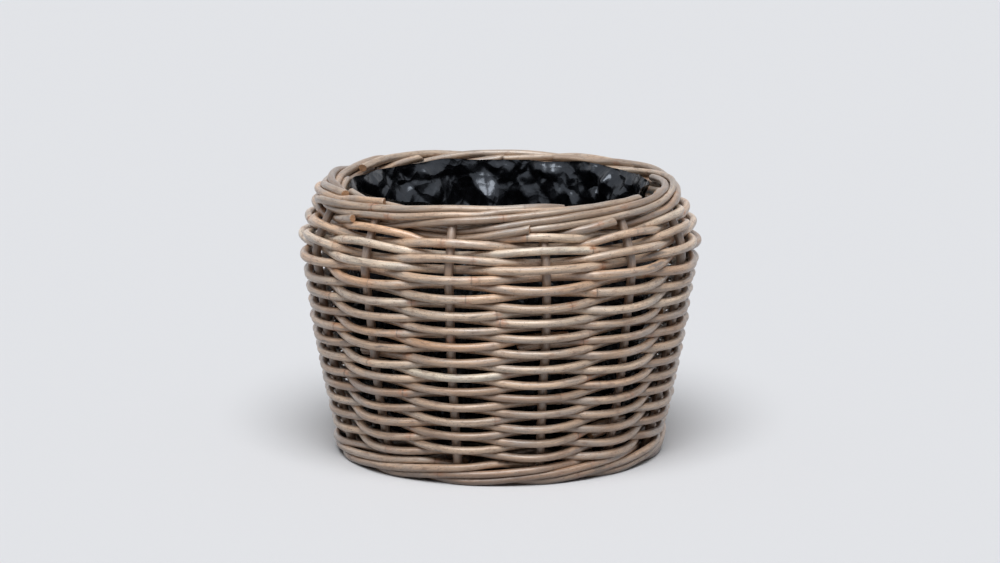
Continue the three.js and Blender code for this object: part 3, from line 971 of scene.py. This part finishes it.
CANE_LOOKS = {
    "wall_cane": {
        "tones": [(0.0, linear(122, 97, 78)), (0.3, linear(174, 144, 119)), (0.55, linear(213, 184, 157)),
                  (0.8, linear(239, 216, 191)), (1.0, linear(246, 239, 219))],
        "grey": linear(180, 168, 159), "fresh": linear(233, 186, 145), "stain": linear(143, 104, 78),
        "grime": linear(102, 86, 77),
    },
    "upright_cane": {
        "tones": [(0.0, linear(103, 82, 67)), (0.45, linear(151, 125, 104)), (1.0, linear(193, 167, 143))],
        "grey": linear(145, 133, 125), "fresh": linear(191, 145, 108), "stain": linear(113, 82, 62),
        "grime": linear(88, 74, 65),
    },
    "border_cane": {
        "tones": [(0.0, linear(113, 89, 72)), (0.35, linear(162, 136, 113)), (0.7, linear(200, 176, 152)),
                  (1.0, linear(230, 211, 191))],
        "grey": linear(158, 148, 140), "fresh": linear(220, 170, 125), "stain": linear(135, 98, 73),
        "grime": linear(95, 80, 71),
    },
    "foot_cane": {
        "tones": [(0.0, linear(118, 93, 76)), (0.4, linear(177, 146, 121)), (1.0, linear(238, 212, 186))],
        "grey": linear(177, 165, 156), "fresh": linear(223, 172, 129), "stain": linear(131, 95, 71),
        "grime": linear(98, 82, 71),
    },
    "base_cane": {
        "tones": [(0.0, linear(113, 92, 75)), (0.5, linear(161, 135, 113)), (1.0, linear(206, 180, 156))],
        "grey": linear(157, 145, 136), "fresh": linear(200, 156, 118), "stain": linear(124, 91, 68),
        "grime": linear(99, 82, 73),
    },
}


def make_canes():
    canes = [*upright_canes(), *weaver_canes(), *foot_canes(), *border_canes(), *base_canes()]
    settle(canes)
    cut = cut_material()
    materials = {slot: cane_material(slot, **look) for slot, look in CANE_LOOKS.items()}
    for cane in canes:
        piece = add_piece("cane_" + cane.node, cane_mesh(cane), [materials[cane.slot], cut])
        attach(piece, "root")
        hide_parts(cane.node)


# Liner
def film_profile():
    """The bag's section, from the middle of its floor to its edge, as radius and height. It lies
    against the lower wall, and hangs free over the shoulder."""
    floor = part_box("liner")[0].z + FILM_FLOOR_LIFT
    arcs = np.linspace(LEVEL_ARCS[0] + FILM_ABOVE_FIRST_LEVEL, FILM_LEAVES_WALL_ARC, 24)
    radius, height, up = wall_at(arcs)
    wall = np.stack([radius - up[..., 1] * FILM_WALL_GAP, height + up[..., 0] * FILM_WALL_GAP], axis=-1)
    return np.vstack([
        (0, floor),
        *[(wall[0, 0] + in_step, floor + lift) for in_step, lift in FILM_CORNER],
        wall,
        *FILM_SHOULDER,
        (FILM_NECK_RADIUS, FILM_NECK_HEIGHT),
        (FILM_NECK_RADIUS, FILM_TOP_HEIGHT),
    ])


def crumple(points):
    """How far the film stands off its smooth shape: flat facets with straight creases, and short
    wrinkles in places."""
    rng = np.random.default_rng(FILM_FOLD_SEED)
    height = np.full(points.shape[:-1], FILM_FOLD_BASE)
    patches, swerve = FILM_WRINKLED_PATCHES
    wrinkled = smooth_step(np.sin(points @ patches + 1.3 * np.sin(points @ swerve)), -0.3, 0.6)
    for wavelength, slope in FILM_FOLDS:
        heading = unit(rng.normal(size=3) * [1, 1, 0.9])
        bend = 0.12 * wavelength * np.sin(points @ (rng.normal(size=3) * 14) + rng.uniform(0, 6))
        place = (points @ heading + bend) / wavelength + rng.uniform(0, 1)
        fold = slope * wavelength * np.abs(place % 1 - 0.5)
        height += fold * (wrinkled if wavelength < FILM_WRINKLES_UNDER else 1)
    return np.abs(height)


def film_rings():
    """The bag's points, in rings from near the middle of its floor to its edge, and the length of its
    section. It is crumpled less where it is held, at its edge and on its floor."""
    profile = film_profile()
    lengths = lengths_along(profile)
    length, turn_up = lengths[-1], lengths[2]
    run = np.concatenate([
        np.linspace(0, turn_up, FILM_FLOOR_ROWS, endpoint=False)[1:],
        np.linspace(turn_up, length, FILM_WALL_ROWS),
    ])
    radius, height = (relaxed(np.interp(run, lengths, profile[:, axis]), 12) for axis in (0, 1))
    inwards = unit(np.stack([-np.gradient(height), np.gradient(radius)], axis=-1))
    azimuth = np.arange(FILM_COLUMNS) * 360 / FILM_COLUMNS
    out = outwards(azimuth)[None]
    points = out * radius[:, None, None] + height[:, None, None] * UP
    to_edge = length - run
    off_floor = smooth_step(run, turn_up + FILM_FLOOR_BAND[0], turn_up + FILM_FLOOR_BAND[1])
    loose = between(FILM_EDGE_HELD, 1, smooth_step(to_edge, 0.0, FILM_EDGE_BAND))
    loose = loose * between(FILM_FLOOR_HELD, 1, off_floor)
    lift = crumple(points) * loose[:, None]
    points = points + lift[..., None] * (out * inwards[:, None, :1] + inwards[:, None, 1:] * UP)
    wave = wander(azimuth, np.random.default_rng(FILM_EDGE_SEED), "film_edge")
    points[..., 2] += wave * smooth_step(to_edge, FILM_EDGE_WAVE_BAND, 0.0)[:, None]
    return points, length


def make_liner():
    """The film bag: its wall follows the weave's inner side, and it is crumpled all over."""
    rings, reach = film_rings()
    verts = np.vstack([rings.reshape(-1, 3), [[0, 0, rings[0, :, 2].mean()]]])
    index, walls = ring_faces(len(rings), FILM_COLUMNS)
    middle = len(verts) - 1
    floor = [[middle, int(after), int(corner)] for corner, after in zip(index[0], np.roll(index[0], -1))]
    mesh = bpy.data.meshes.new("liner_film")
    mesh.from_pydata(verts.tolist(), [], walls + floor)
    mesh.polygons.foreach_set("use_smooth", np.ones(len(mesh.polygons), bool))
    piece = add_piece("liner_film", mesh, [film_material()])
    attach(piece, "root")
    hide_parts("liner")


# Studio
def seen_directly(tree):
    """One for rays that show the background, straight or in a reflection, and zero for light."""
    paths = tree.nodes.new("ShaderNodeLightPath").outputs
    total = paths["Is Camera Ray"]
    for kind in ("Is Glossy Ray", "Is Transmission Ray"):
        either = tree.nodes.new("ShaderNodeMath")
        either.operation = "MAXIMUM"
        tree.links.new(total, either.inputs[0])
        tree.links.new(paths[kind], either.inputs[1])
        total = either.outputs[0]
    return total


def make_floor():
    """A pale floor that throws back less light than it shows, so the object's undersides stay dark."""
    half = FLOOR_HALF_SIZE
    corners = [(-half, -half, 0), (half, -half, 0), (half, half, 0), (-half, half, 0)]
    mesh = bpy.data.meshes.new("studio_floor")
    mesh.from_pydata(corners, [], [(0, 1, 2, 3)])
    shader = Shader("studio_floor")
    thrown_back = tuple(FLOOR_BOUNCE * part for part in PALE)
    shown = shader.mix(seen_directly(shader.tree), thrown_back, PALE)
    material = shader.set(Base_Color=shown, Roughness=0.9, Specular_IOR_Level=0.1)
    floor = add_piece("studio_floor", mesh, [material])


def make_world():
    """Even light that grows towards the top, seen as a plain pale background."""
    world = bpy.data.worlds.new("studio")
    bpy.context.scene.world = world
    world.use_nodes = True
    tree = world.node_tree
    upward = tree.nodes.new("ShaderNodeSeparateXYZ")
    strength = tree.nodes.new("ShaderNodeMapRange")
    tree.links.new(tree.nodes.new("ShaderNodeTexCoord").outputs["Generated"], upward.inputs[0])
    tree.links.new(upward.outputs[2], strength.inputs["Value"])
    strength.inputs["To Min"].default_value = WORLD_AT_HORIZON
    strength.inputs["To Max"].default_value = WORLD_OVERHEAD
    light = tree.nodes["Background"]
    light.inputs["Color"].default_value = (1.0, 1.0, 1.0, 1)
    tree.links.new(strength.outputs[0], light.inputs["Strength"])
    pale = tree.nodes.new("ShaderNodeBackground")
    pale.inputs["Color"].default_value = (*PALE, 1)
    either = tree.nodes.new("ShaderNodeMixShader")
    tree.links.new(seen_directly(tree), either.inputs[0])
    tree.links.new(light.outputs[0], either.inputs[1])
    tree.links.new(pale.outputs[0], either.inputs[2])
    tree.links.new(either.outputs[0], tree.nodes["World Output"].inputs["Surface"])


def make_top_light():
    lamp = bpy.data.lights.new("top_light", "SUN")
    lamp.energy = SUN_STRENGTH
    lamp.angle = math.radians(SUN_ANGLE)
    light = bpy.data.objects.new("top_light", lamp)
    light.rotation_euler = (math.radians(SUN_TILT[0]), math.radians(SUN_TILT[1]), 0)
    bpy.context.scene.collection.objects.link(light)


def make_camera():
    camera = bpy.data.cameras.new("camera")
    camera.sensor_width = SENSOR_WIDTH
    camera.lens = FOCAL_PIXELS * SENSOR_WIDTH / IMAGE_WIDTH
    holder = bpy.data.objects.new("camera", camera)
    holder.location = (CAMERA_SIDE, -CAMERA_DISTANCE, CAMERA_HEIGHT)
    holder.rotation_euler = (math.radians(90 - CAMERA_PITCH), 0, 0)
    bpy.context.scene.collection.objects.link(holder)
    bpy.context.scene.camera = holder


make_camera()
make_floor()
make_world()
make_top_light()
make_canes()
make_liner()

bpy.context.scene.view_settings.view_transform = "Standard"
